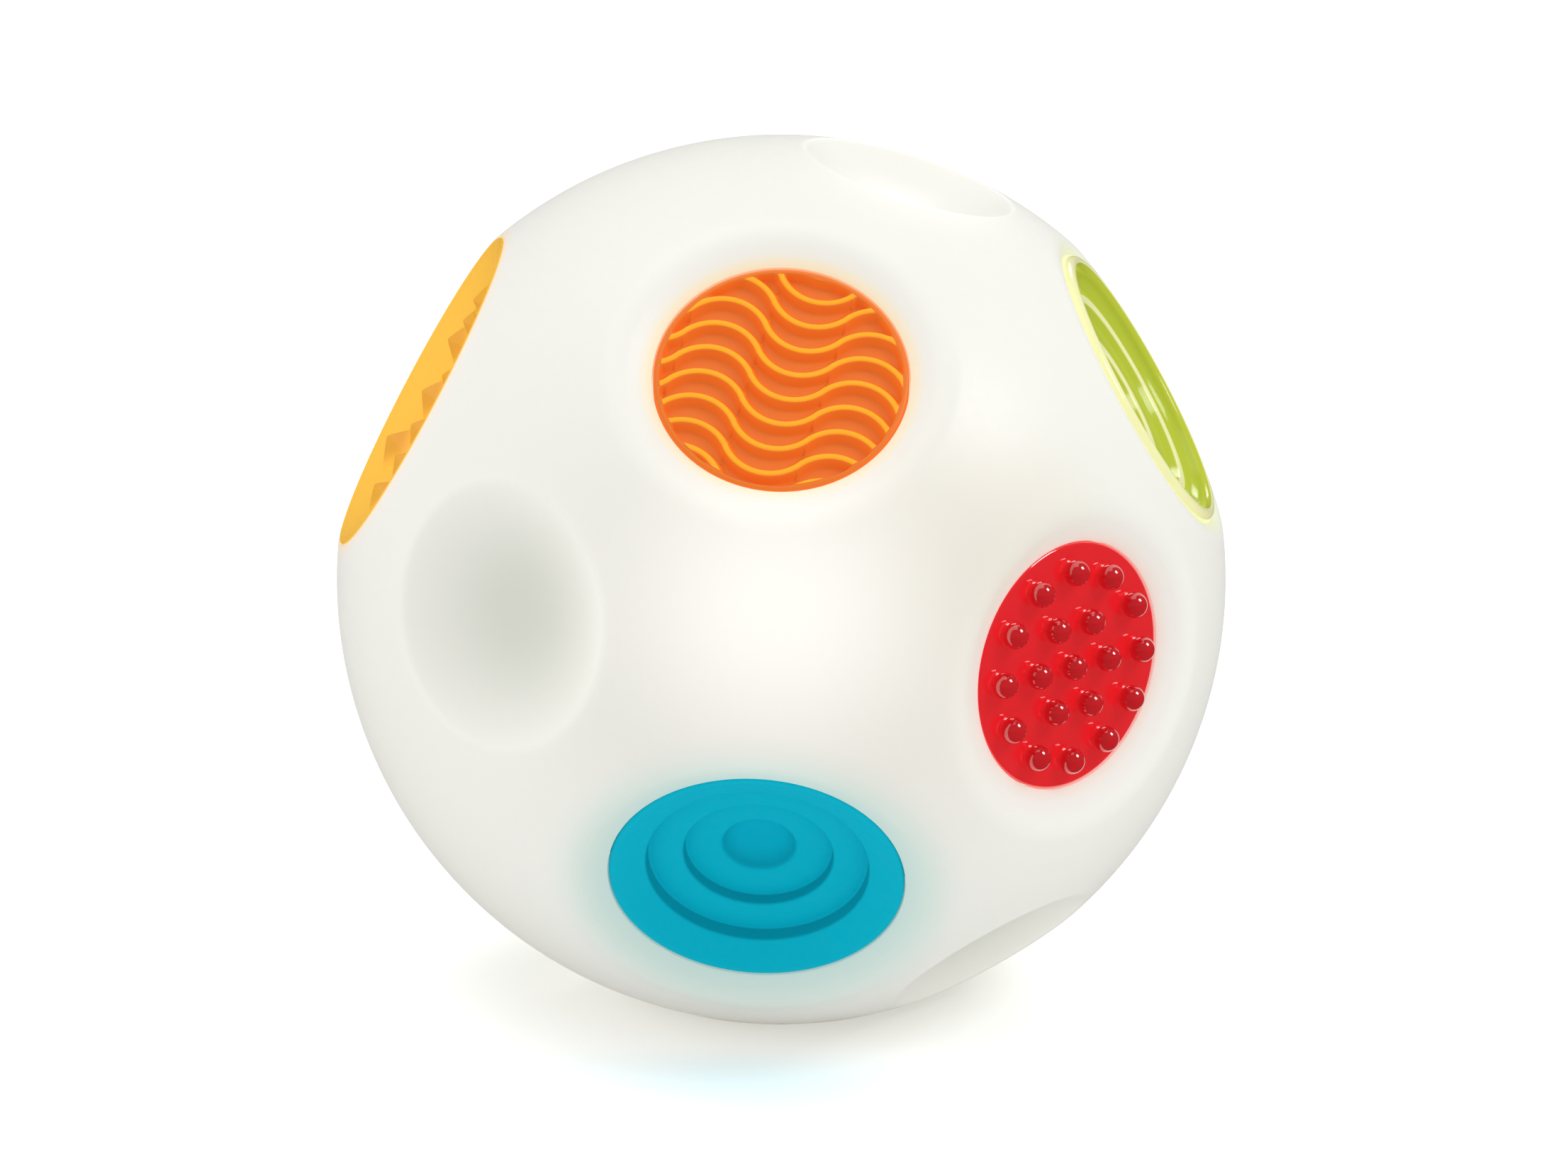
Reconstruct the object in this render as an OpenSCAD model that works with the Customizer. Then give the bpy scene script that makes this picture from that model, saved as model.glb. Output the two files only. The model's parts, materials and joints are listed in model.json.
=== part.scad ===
// Light-up sensory ball for babies: one seamless milky shell with textured discs, bowls and
// plain grip dimples, a battery core that closes its flat base, and a speaker pod at the back.
// Millimetres, +Z up, origin at the centre of the flat base. Places on the ball are a latitude
// and a longitude in degrees, with longitude 0 at the front (-Y) and growing to the right.

/* [Ball] */
// Radius of the ball
ball_r = 60; // [57:0.5:66]
// Wall of the shell
shell_wall = 2.4; // [2:0.1:2.8]
// Slope of a pocket's soft mouth, degrees
mouth_deg = 22; // [16:1:26]
// Rounding of a pocket's mouth
mouth_round = 5; // [3:0.25:6]

/* [Grip dimples] */
// Radius of a dimple's rim
dimple_r = 17.2; // [15:0.1:17.6]
// Depth of a dimple below its rim
dimple_depth = 5.5; // [4.5:0.1:6]
// Rounding of a dimple's rim
dimple_round = 1.5; // [1:0.1:2]

/* [Flat discs] */
// Radius of the orange and the red disc
disc_r = 16.3; // [15.5:0.1:17]
// Depth of a disc's face below the ball's surface
disc_sink = 5.8; // [5.2:0.1:6.4]
// Thickness of a disc's plate
disc_plate = 2.2; // [1.8:0.1:2.6]
// Radius of the stem that holds a disc
stem_r = 3; // [2.5:0.1:4]

/* [Wave ridges] */
// Distance from one ridge to the next
ridge_pitch = 3.7; // [3.4:0.1:4.6]
// Width of a ridge at its foot
ridge_w = 1.1; // [0.9:0.1:1.6]
// Height of a ridge
ridge_h = 1.4; // [1:0.1:2]
// Depth of the ridged floor below the disc's rim
ridge_floor = 1.3; // [0.9:0.1:1.5]
// Length of one full wave
wave_len = 19.4; // [17:0.2:24]
// Tilt of the waves in the disc's plane, degrees
wave_tilt = -16; // [-30:1:0]

/* [Bumps] */
// Radius of a bump's round tip
bump_r = 1.75; // [1.4:0.05:2.1]
// Height of a bump
bump_h = 2.8; // [2.4:0.1:3.8]
// Distance from one ring of bumps to the next
bump_pitch = 6.3; // [5.6:0.05:6.5]

/* [Step bowl] */
// Radius of the blue step bowl
bowl_r = 19.1; // [18.4:0.1:19.8]
// Depth of its edge below the ball's surface
bowl_sink = 6.2; // [5.8:0.1:6.6]
// Drop of the first step, at the rim
step_1 = 2; // [1.6:0.1:2.4]
// Drop of the second step
step_2 = 1.9; // [1.5:0.1:2.2]
// Drop of the third step
step_3 = 1.8; // [1.4:0.1:2.1]
// Depth of the cup in the middle
cup_depth = 3.2; // [2.4:0.1:3.8]

/* [Dishes] */
// Radius of the green dish
dish_r = 20; // [19.2:0.1:20.6]
// Depth of the green dish's rim below the ball's surface
dish_sink = 4.9; // [4.6:0.1:5.4]
// Radius of the yellow dish
field_r = 23; // [22.4:0.1:23.4]
// Depth of the yellow dish's rim below the edge of its pocket
field_sink = 0.3; // [0.2:0.05:0.5]
// Depth of the yellow dish's floor
pyramid_floor = 3.3; // [2.9:0.1:3.8]
// Side of a pyramid
pyramid_side = 5.8; // [5:0.1:6]
// Height of a pyramid
pyramid_h = 3; // [2.4:0.1:3.4]
// Depth of the green dish's wall
ring_floor = 1; // [0.8:0.1:1.6]
// Fall of the green dish's floor to its middle
ring_fall = 2.8; // [2.2:0.1:3.6]
// Radius of a ring ridge in the green dish
ring_ridge_r = 0.9; // [0.6:0.05:1.1]

/* [Inserts] */
// Thickness of a bowl's or a dish's flange
flange_plate = 2; // [1.7:0.1:2.4]
// Clearance round an insert
insert_fit = 0.15; // [0.1:0.05:0.25]
// Reach of a snap bead past its neck
snap_lip = 0.7; // [0.5:0.05:0.9]
// Length of a snap bead
snap_len = 1.6; // [1.2:0.1:2]

/* [Battery core] */
// Radius of the foot, the flat flange that the ball stands on
foot_r = 20.6; // [20.4:0.1:21.4]
// Thickness of the foot
foot_t = 2.2; // [2:0.1:2.6]
// Radius of a battery cell
cell_r = 5.25; // [5:0.05:5.3]
// Length of a battery cell
cell_len = 44.5; // [43:0.5:45]
// Radius of the circle of cells
cell_ring = 7.8; // [7.7:0.05:8]
// Wall of the battery tube
tube_wall = 1.9; // [1.7:0.1:2]
// Thickness of the battery door
door_t = 2; // [1.8:0.1:2.2]
// Radius of the battery door
door_r = 14.1; // [14:0.05:14.2]
// Length of a battery spring in place
spring_len = 3.2; // [2.8:0.1:3.6]

/* [Electronics] */
// Radius of the circuit board
board_r = 13.4; // [12.8:0.1:13.5]
// Thickness of the circuit board
board_t = 1.6; // [1.2:0.1:2]
// Radius of the speaker
speaker_r = 13; // [12.4:0.1:13.1]
// Radius of the loose ball in the motion sensor
roller_r = 1.8; // [1.6:0.05:1.9]
// Travel of that ball from one end to the other
roller_travel = 4; // [3:0.25:5]
// Travel of the slide switch
switch_travel = 4; // [3:0.25:4.5]

/* [Hidden] */
$fn = 96;
// Overrun of every cut past the face that it opens
overrun = 1;
// How far a pocket's rounding stands past the ball, so that it leaves the surface at a slight angle
round_lap = 0.02;
// Largest share of the room at its mouth that a pocket's rounding takes
round_share = 0.8;

// Latitude and longitude of each piece and dimple
orange_at = [43, 0];
red_at = [-1, 43];
blue_at = [-31, -4];
green_at = [30, 84];
yellow_at = [29, -87];
speaker_at = [-25, 180];
dimples_at = [
  [7, -39], [73, 84], [-50, 48], [-50, -97], [55, -172], [-22, 108], [20, 140], [-8, -133], [18, -178]
];
// Size of each dimple as a share of the largest
dimple_shares = [1, 0.83, 0.83, 1, 1, 1, 1, 1, 1];

// Distance of each insert's edge and seat from the ball's centre
disc_d = ball_r - disc_sink;
bowl_d = ball_r - bowl_sink;
dish_d = ball_r - dish_sink;
field_d = sqrt(ball_r * ball_r - (field_r + insert_fit) * (field_r + insert_fit)) - field_sink;
snap_gap = insert_fit;
edge_round = 0.6;
wave_shift = [0.8, -0.3, 0];
pyramid_shift = [-0.75, -2.55, 0];
bend_shares = [0.8, 0.6];

// Necks that pass through the shell
bowl_neck_wall = 1.3;
bowl_rim_w = 0.7;
bowl_floor_t = 1.4;
bowl_plate = step_1 + bowl_floor_t;
bowl_shares = [0.7475, 0.5, 0.255];
bowl_neck = bowl_r * bowl_shares[0] + bowl_neck_wall;
dish_ledge = 1.6;
dish_belly = 3.2;
dish_neck = dish_r - dish_ledge;
field_neck = field_r - dish_ledge;
pod_wall = 1.2;
pod_neck = speaker_r + insert_fit + pod_wall;

// Flat base
foot_proud = 0.3;
foot_hole = foot_r + insert_fit;
base_d = sqrt(ball_r * ball_r - foot_hole * foot_hole) + foot_proud;
core_seal_t = 0.8;
seat_z = foot_t + core_seal_t;
lip_t = 2.6;
lip_z = seat_z + lip_t;

// Battery tube, from the door up
cell_fit = 0.3;
door_fit = 0.2;
door_sink = 0.3;
door_seal_t = 0.8;
contact_t = 0.4;
ceiling_t = 1.8;
tube_in = cell_ring + cell_r + cell_fit;
tube_r = tube_in + tube_wall;
tube_fit = 0.4;
lip_r = tube_r + tube_fit;
door_in_z = door_sink + door_t;
ledge_z = door_in_z + door_seal_t;
cell_z = door_in_z + spring_len;
ceiling_z = cell_z + cell_len + contact_t;
tube_top = ceiling_z + ceiling_t;
post_gap = 0.2;
post_r = cell_ring - cell_r - post_gap;
door_screw_r = 1.25;
screw_fit = 0.06;
door_screw_len = 10;
door_head_r = 2.4;
door_head_t = 1;
head_fit = 0.2;
head_sink = 0.2;
cross_w = 0.7;
cross_t = 0.6;

// Core screws in the shell's bosses
core_screws = 3;
core_screw_first_deg = 30;
core_screw_r = 1.1;
core_screw_len = 9;
core_head_r = 1.9;
core_head_t = 1;
boss_r = 2.4;
boss_h = 6.4;
boss_ring = (foot_r + lip_r) / 2;

// Circuit board above the tube
board_gap = 3;
board_z = tube_top + board_gap;
board_top = board_z + board_t;
crown_wall = 1.4;
crown_h = 1.8;
crown_in = tube_r - crown_wall;
standoffs = 3;
standoff_r = 1.9;
standoff_ring = 10;
board_screw_r = 0.9;
board_head_r = 1.6;
board_head_t = 0.9;
board_screw_bite = 2.4;
lead_r = 0.7;
lead_fit = 0.4;
dome_fit = 0.15;
dome_wall = 1.2;
dome_r = crown_in - dome_fit;
leds = 3;
led_ring = 6.4;
led_r = 1.5;
led_h = 2.6;
led_first_deg = 90;
chip_w = 6;
chip_t = 1.2;
chip_y = -3.7;
can_wall = 0.5;
can_y = 1.8;
roller_fit = 0.2;
can_r = roller_r + roller_fit + can_wall;
can_len = roller_travel + 2 * (roller_r + roller_fit + can_wall);

// Slide switch in the foot
switch_y = (foot_r + door_r) / 2 + 0.5 * insert_fit;
switch_len = 9.6;
switch_w = 3.8;
switch_t = 3.4;
switch_fit = 0.25;
knob_w = 3.2;
knob_d = 2.8;
knob_t = 0.65;
knob_sink = 0.35;
knob_stem_w = 2;
knob_stem_d = 1.6;
knob_stem_in = 1.6;
knob_rib = 0.4;
scoop_t = 1.1;

// Speaker pod
grille_hole_r = 0.9;
grille_pitch = 3.5;
grille_rings = 3;
pod_front_gap = 1.2;
pod_ledge = 0.9;
frame_t = 1;
basket_depth = 3.4;
basket_wall = 0.7;
magnet_r = 7;
magnet_t = 3.6;
clamp_t = 1.3;
clamp_w = 1.5;
cone_wall = 0.4;
cone_shares = [0.86, 0.42];
speaker_seat_d = disc_d - disc_plate;
speaker_front_d = speaker_seat_d - pod_front_gap;
speaker_back_d = speaker_front_d - frame_t - basket_depth;
magnet_back_d = speaker_back_d - magnet_t;

// Route of the speaker lead: from the board, out through the crown and over to the magnet
lead_y0 = 9;
lead_z = tube_top + board_gap / 2;
magnet_end = [0, cos(speaker_at[0]) * magnet_back_d, base_d + sin(speaker_at[0]) * magnet_back_d];

// Points of an arc about c, for the round stretches of an outline
function arc(c, r, from, to, steps = 6) =
  [for (i = [0:steps]) c + r * [cos(from + (to - from) * i / steps), sin(from + (to - from) * i / steps)]];

// Puts children at a place on the ball, with their Z axis pointing out from its centre
module at(place) {
  translate([0, 0, base_d]) rotate([90 - place[0], 0, place[1]]) children();
}

module around(count, ring, first = 0) {
  for (i = [0:count - 1])
    rotate([0, 0, first + 360 * i / count]) translate([ring, 0, 0]) children();
}

// Rounding of a pocket's mouth, limited by the room between its edge and the ball
function fitted_round(r, d) =
  min(mouth_round, round_share * (ball_r - norm([r, d])) / (1 - cos(mouth_deg + atan2(r, d))));

// Centre of the mouth's rounding: below the sloped line from the edge, and just inside the ball
function round_centre(r, d, f) =
  let (along = [cos(mouth_deg), sin(mouth_deg)])
  let (start = [r, d] - f * [-sin(mouth_deg), cos(mouth_deg)])
  let (b = start * along)
  let (c = start * start - (ball_r - f + round_lap) * (ball_r - f + round_lap))
  start + (sqrt(b * b - c) - b) * along;

function mouth_crest(r, d) =
  let (f = fitted_round(r, d))
  let (c = round_centre(r, d, f))
  c * (norm(c) + f) / norm(c);

// Rest of a cutter's outline, from a point on its side to above the ball's surface
function above(p) =
  let (side = p * (ball_r + overrun) / ball_r)
  [side, [side[0], ball_r + overrun], [0, ball_r + overrun]];

// Soft mouth of a pocket: flat at the edge of its insert, sloped, then rounded into the ball
module mouth(r, d) {
  f = fitted_round(r, d);
  c = round_centre(r, d, f);
  crest = mouth_crest(r, d);
  crest_deg = atan2(crest[1], crest[0]);
  rotate_extrude()
    polygon(concat(
      [[0, d], [r, d]],
      arc(c, f, 90 + mouth_deg, crest_deg, 8),
      above(crest)
    ));
}

module pocket(r, d, seat) {
  mouth(r, d);
  translate([0, 0, seat]) cylinder(r = r, h = d - seat + overrun);
}

// Wall behind a pocket, taken out of the shell's hollow
module pocket_back(r, d, seat) {
  crest = mouth_crest(r, d);
  inner = crest * (ball_r - shell_wall) / ball_r;
  side = [max(inner[0], r + shell_wall), inner[1]];
  rotate_extrude()
    polygon(concat(
      [[0, seat - shell_wall], [r + shell_wall, seat - shell_wall], side],
      above(side)
    ));
}

// Grip dimple: a dish cut by a sphere, with a rounded rim
function dish_cut_r(r, depth) = (r * r + depth * depth) / (2 * depth);

function dish_cut_d(r, depth) = sqrt(ball_r * ball_r - r * r) - depth + dish_cut_r(r, depth);

module dimple(r, depth) {
  dish_r = dish_cut_r(r, depth);
  dish_d = dish_cut_d(r, depth);
  inner = ball_r - dimple_round + round_lap;
  outer = dish_r + dimple_round;
  cz = (inner * inner - outer * outer + dish_d * dish_d) / (2 * dish_d);
  c = [sqrt(inner * inner - cz * cz), cz];
  low_deg = atan2(dish_d - cz, -c[0]);
  dish_deg = atan2(cz - dish_d, c[0]);
  crest = c * (norm(c) + dimple_round) / norm(c);
  rotate_extrude()
    polygon(concat(
      arc([0, dish_d], dish_r, -90, dish_deg, 14),
      arc(c, dimple_round, low_deg, atan2(c[1], c[0]), 6),
      above(crest)
    ));
}

module dimple_back(r, depth) {
  translate([0, 0, dish_cut_d(r, depth)]) sphere(r = dish_cut_r(r, depth) + shell_wall);
}

// Puts a dimple, or the wall behind it, at each of its places
module at_dimples(back = false) {
  for (i = [0:len(dimples_at) - 1]) at(dimples_at[i]) {
    r = dimple_r * dimple_shares[i];
    depth = dimple_depth * dimple_shares[i];
    if (back) dimple_back(r, depth);
    else dimple(r, depth);
  }
}

// Each pocket: place, radius, edge, seat and the radius of the hole in its floor
pockets = [
  [orange_at, disc_r + insert_fit, disc_d, disc_d - disc_plate, stem_r + insert_fit],
  [red_at, disc_r + insert_fit, disc_d, disc_d - disc_plate, stem_r + insert_fit],
  [speaker_at, disc_r + insert_fit, disc_d, disc_d - disc_plate, pod_neck + insert_fit],
  [blue_at, bowl_r + insert_fit, bowl_d, bowl_d - bowl_plate, bowl_neck + insert_fit],
  [green_at, dish_r + insert_fit, dish_d, dish_d - flange_plate, dish_neck + insert_fit],
  [yellow_at, field_r + insert_fit, field_d, field_d - flange_plate, field_neck + insert_fit]
];

module shell_outside() {
  difference() {
    translate([0, 0, base_d]) sphere(r = ball_r);
    for (p = pockets) at(p[0]) pocket(p[1], p[2], p[3]);
    at_dimples();
  }
}

module shell_hollow() {
  difference() {
    translate([0, 0, base_d]) sphere(r = ball_r - shell_wall);
    for (p = pockets) at(p[0]) pocket_back(p[1], p[2], p[3]);
    at_dimples(back = true);
    translate([0, 0, base_d - ball_r]) cylinder(r = ball_r, h = ball_r - base_d + lip_z);
    around(core_screws, boss_ring, core_screw_first_deg) cylinder(r = boss_r, h = lip_z + boss_h);
  }
}

// Space for the switch in the shell's lip and in the core's seal
module switch_notch() {
  length = switch_len + 2 * switch_fit;
  translate([-length / 2, 0, 0])
    cube([length, switch_y + switch_w / 2 + switch_fit, lip_z + overrun]);
}

module ball_shell() {
  color("#f3f1ea") difference() {
    shell_outside();
    shell_hollow();
    for (p = pockets) at(p[0]) translate([0, 0, p[3] - shell_wall - overrun])
      cylinder(r = p[4], h = shell_wall + 2 * overrun);
    translate([0, 0, base_d - ball_r - overrun])
      cylinder(r = foot_hole, h = ball_r - base_d + overrun + seat_z);
    cylinder(r = lip_r, h = lip_z + overrun);
    switch_notch();
    around(core_screws, boss_ring, core_screw_first_deg)
      cylinder(r = core_screw_r + screw_fit, h = lip_z + boss_h + overrun);
  }
}

// Outline of a snap neck that goes through the shell's floor, from its seat inwards
function neck_outline(r, seat) =
  let (under = seat - shell_wall - snap_gap)
  [[r, seat], [r, under], [r + snap_lip, under], [r, under - snap_len]];

function neck_end(seat) = seat - shell_wall - snap_gap - snap_len;

// Plate of a flat disc with its stem; its floor may lie below its rim
module stem_disc(floor_drop = 0) {
  seat = disc_d - disc_plate;
  rim_w = 1.5 * edge_round;
  floor_r = disc_r - 2 * edge_round;
  rotate_extrude()
    polygon(concat(
      [[0, disc_d - floor_drop], [floor_r, disc_d - floor_drop], [disc_r - rim_w, disc_d]],
      arc([disc_r - edge_round, disc_d - edge_round], edge_round, 90, 0, 4),
      [[disc_r, seat]],
      neck_outline(stem_r, seat),
      [[0, neck_end(seat)]]
    ));
}

// One bend of a wave ridge: the part of a ring between the lines where the next bends take over
module wave_bend(bend_r) {
  reach = 2 * bend_r * bend_shares;
  intersection() {
    rotate_extrude() translate([bend_r, 0]) polygon([
      [-ridge_w / 2, -ridge_w / 4], [ridge_w / 2, -ridge_w / 4],
      [ridge_w / 2, 0], [ridge_w / 3, ridge_h * 2 / 3],
      [ridge_w / 6, ridge_h], [-ridge_w / 6, ridge_h],
      [-ridge_w / 3, ridge_h * 2 / 3], [-ridge_w / 2, 0]
    ]);
    translate([0, 0, -ridge_w]) linear_extrude(2 * ridge_w + ridge_h)
      polygon([[0, 0], reach, [-reach[0], reach[1]]]);
  }
}

module wave_ridges() {
  half_len = wave_len / 2;
  bend_r = half_len / 2 / bend_shares[0];
  lift = bend_r * bend_shares[1];
  bends = ceil(disc_r / half_len);
  rows = ceil(disc_r / ridge_pitch);
  for (row = [-rows:rows], i = [-bends:bends])
    if (norm([i * half_len, row * ridge_pitch]) < disc_r + half_len)
      translate([i * half_len, row * ridge_pitch, 0]) rotate([0, 0, i % 2 == 0 ? 180 : 0])
        translate([0, -lift, 0]) wave_bend(bend_r);
}

module orange_wave_disc() {
  color("#f07028") at(orange_at) {
    stem_disc(ridge_floor);
    intersection() {
      translate([0, 0, disc_d - ridge_floor]) rotate([0, 0, wave_tilt]) translate(wave_shift) wave_ridges();
      translate([0, 0, disc_d - disc_plate]) cylinder(r = disc_r - 1.25 * edge_round, h = disc_plate + ridge_h);
    }
  }
}

module bump() {
  neck_share = 0.78;
  translate([0, 0, disc_d - disc_plate / 2])
    cylinder(r = bump_r * neck_share, h = disc_plate / 2 + bump_h - bump_r);
  translate([0, 0, disc_d + bump_h - bump_r]) sphere(r = bump_r);
}

module red_bump_disc() {
  color("#d8232b") at(red_at) {
    stem_disc();
    bump();
    around(6, bump_pitch) bump();
    around(12, 2 * bump_pitch) bump();
  }
}

// One step of a bowl, from the foot of its riser out to the rounded edge above
function step_outline(r, low, high) =
  concat([[r, low]], arc([r + edge_round, high - edge_round], edge_round, 180, 90, 5));

module blue_step_bowl() {
  seat = bowl_d - bowl_plate;
  radii = bowl_r * bowl_shares;
  level_1 = bowl_d - step_1;
  level_2 = level_1 - step_2;
  level_3 = level_2 - step_3;
  cup_r = (radii[2] * radii[2] + cup_depth * cup_depth) / (2 * cup_depth);
  cup_low = level_3 - cup_depth;
  floor_t = flange_plate;
  color("#00aecb") at(blue_at) rotate_extrude()
    polygon(concat(
      arc([0, cup_low + cup_r], cup_r, -90, asin(radii[2] / cup_r) - 90, 8),
      step_outline(radii[1], level_3, level_2),
      step_outline(radii[0], level_2, level_1),
      step_outline(bowl_r - bowl_rim_w - edge_round, level_1, bowl_d),
      arc([bowl_r - edge_round, bowl_d - edge_round], edge_round, 90, 0, 5),
      [[bowl_r, seat]],
      neck_outline(bowl_neck, seat),
      [[radii[1], level_3 - floor_t], [radii[2], cup_low - floor_t], [0, cup_low - floor_t]]
    ));
}

// Outline of a dish below its flange
function dish_under(r, seat, low) =
  let (neck = r - dish_ledge)
  concat([[r, seat]], neck_outline(neck, seat), [[neck - dish_belly, low], [0, low]]);

module green_ring_dish() {
  seat = dish_d - flange_plate;
  rim_r = 1.1;
  wall_lean = 2.8;
  floor_r = dish_neck - wall_lean;
  floor_d = dish_d - ring_floor;
  middle_d = floor_d - ring_fall;
  ridge_shares = [0.82, 0.58, 0.34];
  color("#c3d23c") at(green_at) {
    rotate_extrude()
      polygon(concat(
        [[0, middle_d], [floor_r, floor_d]],
        arc([dish_r - rim_r, dish_d], rim_r, 180, 0, 10),
        dish_under(dish_r, seat, middle_d - flange_plate)
      ));
    for (share = ridge_shares)
      translate([0, 0, middle_d + ring_fall * share]) rotate_extrude()
        translate([floor_r * share, 0]) circle(r = ring_ridge_r, $fn = 32);
    translate([0, 0, middle_d]) sphere(r = 2 * ring_ridge_r);
  }
}

// Square pyramid that stands on the dish's floor and is rooted in it
module pyramid(floor_d, root) {
  half_diagonal = pyramid_side / sqrt(2);
  slope = half_diagonal / pyramid_h;
  translate([0, 0, floor_d - root])
    cylinder(r1 = half_diagonal + root * slope, r2 = 0, h = pyramid_h + root, $fn = 4);
}

module yellow_pyramid_dish() {
  seat = field_d - flange_plate;
  lip_w = 0.7;
  floor_d = field_d - pyramid_floor;
  wall_lean = 2.2;
  floor_r = field_neck - wall_lean;
  grid_gap = 0.3;
  root = grid_gap / 2;
  step = (pyramid_side + grid_gap) / sqrt(2);
  count = ceil(floor_r / step);
  color("#f7bd3a") at(yellow_at) {
    rotate_extrude()
      polygon(concat(
        [[0, floor_d], [floor_r, floor_d], [field_r - lip_w, field_d]],
        arc([field_r - lip_w / 2, field_d], lip_w / 2, 180, 0, 6),
        dish_under(field_r, seat, floor_d - 2 * flange_plate)
      ));
    intersection() {
      for (i = [-count:count], j = [-count:count])
        if ((i + j) % 2 == 0 && norm([i, j, 0] * step + pyramid_shift) < floor_r)
          translate([i, j, 0] * step + pyramid_shift) pyramid(floor_d, root);
      translate([0, 0, floor_d - root]) cylinder(r = floor_r + edge_round, h = pyramid_h + 2 * root);
    }
  }
}

// Battery core: foot, tube, centre post, ceiling with standoffs, and a crown round the board
module battery_core() {
  color("#f6f5f0") difference() {
    union() {
      rotate_extrude()
        polygon(concat(
          [[0, ceiling_z], [tube_in, ceiling_z], [tube_in, ledge_z], [door_r + door_fit, ledge_z],
            [door_r + door_fit, 0]],
          arc([foot_r - edge_round, edge_round], edge_round, -90, 0, 4),
          [[foot_r, foot_t], [tube_r, foot_t], [tube_r, board_top + crown_h],
            [crown_in, board_top + crown_h], [crown_in, tube_top], [0, tube_top]]
        ));
      translate([0, 0, door_in_z + door_fit]) cylinder(r = post_r, h = tube_top - door_in_z - door_fit);
      around(standoffs, standoff_ring) translate([0, 0, ceiling_z + ceiling_t / 2])
        cylinder(r = standoff_r, h = board_z - ceiling_z - ceiling_t / 2);
    }
    cylinder(r = door_screw_r + screw_fit, h = door_in_z + door_screw_len + overrun);
    around(standoffs, standoff_ring) translate([0, 0, tube_top])
      cylinder(r = board_screw_r + screw_fit, h = board_gap + overrun);
    around(core_screws, boss_ring, core_screw_first_deg) {
      translate([0, 0, -overrun]) cylinder(r = core_screw_r + screw_fit, h = foot_t + 2 * overrun);
      translate([0, 0, -overrun]) cylinder(r = core_head_r + head_fit, h = core_head_t + head_sink + overrun);
    }
    switch_cuts();
    translate([0, crown_in - overrun, lead_z]) rotate([-90, 0, 0])
      cylinder(r = lead_r + lead_fit, h = crown_wall + 2 * overrun);
  }
}

// Finger scoop and slot of the switch, through the foot
module switch_cuts() {
  scoop_w = knob_w + switch_travel + 4 * switch_fit;
  scoop_d = knob_d + 2 * switch_fit;
  slot_w = knob_stem_w + switch_travel + 2 * switch_fit;
  slot_d = knob_stem_d + 2 * switch_fit;
  translate([-scoop_w / 2, switch_y - scoop_d / 2, -overrun]) cube([scoop_w, scoop_d, scoop_t + overrun]);
  translate([-slot_w / 2, switch_y - slot_d / 2, 0]) cube([slot_w, slot_d, foot_t + overrun]);
}

module core_seal() {
  color("#8f9498") difference() {
    translate([0, 0, foot_t]) cylinder(r = foot_r - insert_fit, h = core_seal_t);
    cylinder(r = lip_r, h = seat_z + overrun);
    switch_notch();
    around(core_screws, boss_ring, core_screw_first_deg)
      cylinder(r = core_screw_r + head_fit, h = seat_z + overrun);
  }
}

// Pan-head screw that points up, with a cross in its head
module screw(r, length, head_r, head_t) {
  difference() {
    union() {
      cylinder(r = head_r, h = head_t);
      cylinder(r = r, h = head_t + length);
    }
    for (turn = [0, 90]) rotate([0, 0, turn])
      translate([-head_r * cross_w, -cross_t / 2, -overrun])
        cube([2 * head_r * cross_w, cross_t, head_t / 2 + overrun]);
  }
}

module core_screws() {
  color("#c9ccd0") around(core_screws, boss_ring, core_screw_first_deg)
    translate([0, 0, head_sink]) screw(core_screw_r, core_screw_len, core_head_r, core_head_t);
}

module battery_cells() {
  nub_r = 1.9;
  nub_h = 0.8;
  color("#4a4f57") around(3, cell_ring, 90) translate([0, 0, cell_z]) {
    cylinder(r = cell_r, h = cell_len - nub_h);
    cylinder(r = nub_r, h = cell_len);
  }
}

module battery_contacts() {
  contact_share = 0.7;
  color("#d6b25a") around(3, cell_ring, 90) translate([0, 0, cell_z + cell_len])
    cylinder(r = cell_r * contact_share, h = contact_t);
}

// Tube swept along points, with rings square to the path
function unit(v) = v / norm(v);
function path_dir(p, i) = unit(p[min(i + 1, len(p) - 1)] - p[max(i - 1, 0)]);

module sweep(p, r, sides, aside) {
  rings = [for (i = [0:len(p) - 1])
    let (d = path_dir(p, i), u = unit(cross(d, aside)), v = cross(d, u))
    for (k = [0:sides - 1]) p[i] + r * (cos(360 * k / sides) * u + sin(360 * k / sides) * v)];
  last = len(p) - 1;
  polyhedron(
    points = rings,
    faces = concat(
      [[for (k = [0:sides - 1]) k]],
      [for (i = [0:last - 1], k = [0:sides - 1])
        let (a = i * sides + k, b = i * sides + (k + 1) % sides)
        each [[a, a + sides, b], [b, a + sides, b + sides]]],
      [[for (k = [sides - 1:-1:0]) last * sides + k]]
    )
  );
}

// Cone spring between the door and a cell
module battery_springs() {
  wire_r = 0.25;
  base_r = 3.4;
  tip_r = 1.8;
  turns = 3;
  turn_steps = 9;
  steps = turns * turn_steps;
  rise = spring_len - 2 * wire_r;
  coil = [for (i = [0:steps])
    let (t = i / steps, r = base_r + (tip_r - base_r) * t)
    [r * cos(360 * turns * t), r * sin(360 * turns * t), wire_r + rise * t]];
  color("#b9bec4") around(3, cell_ring, 90) translate([0, 0, door_in_z]) sweep(coil, wire_r, 6, [0, 0, 1]);
}

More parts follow.
